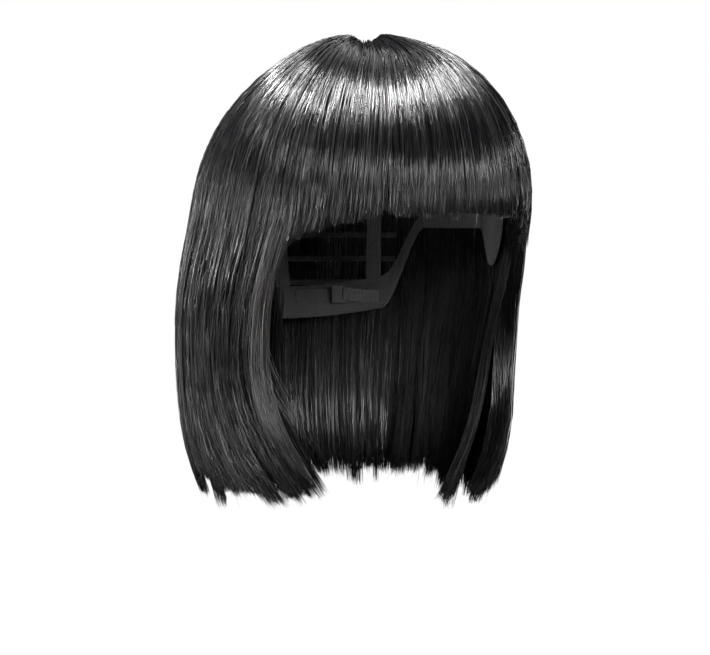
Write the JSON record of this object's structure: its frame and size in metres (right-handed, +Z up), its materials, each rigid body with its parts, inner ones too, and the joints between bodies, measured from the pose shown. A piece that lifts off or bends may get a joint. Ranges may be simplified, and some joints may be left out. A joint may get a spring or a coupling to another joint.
{
  "type": "costume wig",
  "caption": "Short straight bob wig with a blunt fringe, sewn from rows of synthetic hair on a ribbed elastic cap with hook adjusters at the nape.",
  "frame": {"origin": "the cap's seat: the point inside the crown patch that rests on the top of the wearer's head", "axes": "+Z up, -Y the way the wearer faces, +X to the wearer's left"},
  "size_m": [0.1976, 0.2259, 0.2681],
  "materials": {
    "hair": "smooth, glossy black synthetic fibre",
    "under_hair": "black synthetic fibre, less glossy",
    "cap_net": "matte black net",
    "elastic": "ribbed black elastic ribbon",
    "band_tape": "soft matte black tape",
    "weft_tape": "black machine-sewn weft",
    "hook_plastic": "semi-gloss black moulded plastic"
  },
  "bodies": {
    "cap": {"crown_patch": "cap_net", "front_band": "band_tape", "ear_tab_left": "band_tape", "ear_tab_right": "band_tape", "ear_elastic_left": "elastic", "ear_elastic_right": "elastic", "nape_band": "band_tape", "rib_front": "elastic", "rib_front_left": "elastic", "rib_temple_left": "elastic", "rib_ear_left": "elastic", "rib_nape_left": "elastic", "rib_back": "elastic", "rib_nape_right": "elastic", "rib_ear_right": "elastic", "rib_temple_right": "elastic", "rib_front_right": "elastic", "weft_fringe_1": "weft_tape", "weft_fringe_2": "weft_tape", "weft_fringe_3": "weft_tape", "weft_fringe_4": "weft_tape", "weft_long_1": "weft_tape", "weft_long_2": "weft_tape", "weft_long_3": "weft_tape", "weft_long_4": "weft_tape", "weft_long_5": "weft_tape", "weft_nape_1": "weft_tape", "weft_nape_2": "weft_tape", "weft_nape_3": "weft_tape", "adjuster_strap_left": "elastic", "adjuster_pockets_left": "band_tape", "adjuster_strap_right": "elastic", "adjuster_pockets_right": "band_tape", "hair_crown": "hair"},
    "fringe": {"hair_fringe": "hair"},
    "curtain_left": {"hair_side_left": "hair", "under_hair_left": "under_hair"},
    "curtain_right": {"hair_side_right": "hair", "under_hair_right": "under_hair"},
    "back_hair": {"hair_back": "hair", "under_hair_back": "under_hair"},
    "hook_left": {"adjuster_hook_left": "hook_plastic"},
    "hook_right": {"adjuster_hook_right": "hook_plastic"}
  },
  "joints": [
    {"name": "fringe_lift", "type": "hinge", "parent": "cap", "child": "fringe", "pos_m": [0, -0.045, 0.01], "axis": [-1, 0, 0], "range_deg": [0, 50]},
    {"name": "curtain_left_lift", "type": "hinge", "parent": "cap", "child": "curtain_left", "pos_m": [0.068, 0, -0.016], "axis": [0, -1, 0], "range_deg": [0, 40]},
    {"name": "curtain_right_lift", "type": "hinge", "parent": "cap", "child": "curtain_right", "pos_m": [-0.068, 0, -0.016], "axis": [0, 1, 0], "range_deg": [0, 40]},
    {"name": "back_hair_lift", "type": "hinge", "parent": "cap", "child": "back_hair", "pos_m": [0, 0.054, -0.005], "axis": [1, 0, 0], "range_deg": [0, 35]},
    {"name": "adjuster_left", "type": "slide", "parent": "cap", "child": "hook_left", "axis": [-0.9448, 0.3277, 0], "range_m": [0, 0.022], "deforming": ["adjuster_strap_left"]},
    {"name": "adjuster_right", "type": "slide", "parent": "cap", "child": "hook_right", "axis": [0.9448, 0.3277, 0], "range_m": [0, 0.022], "deforming": ["adjuster_strap_right"]}
  ]
}
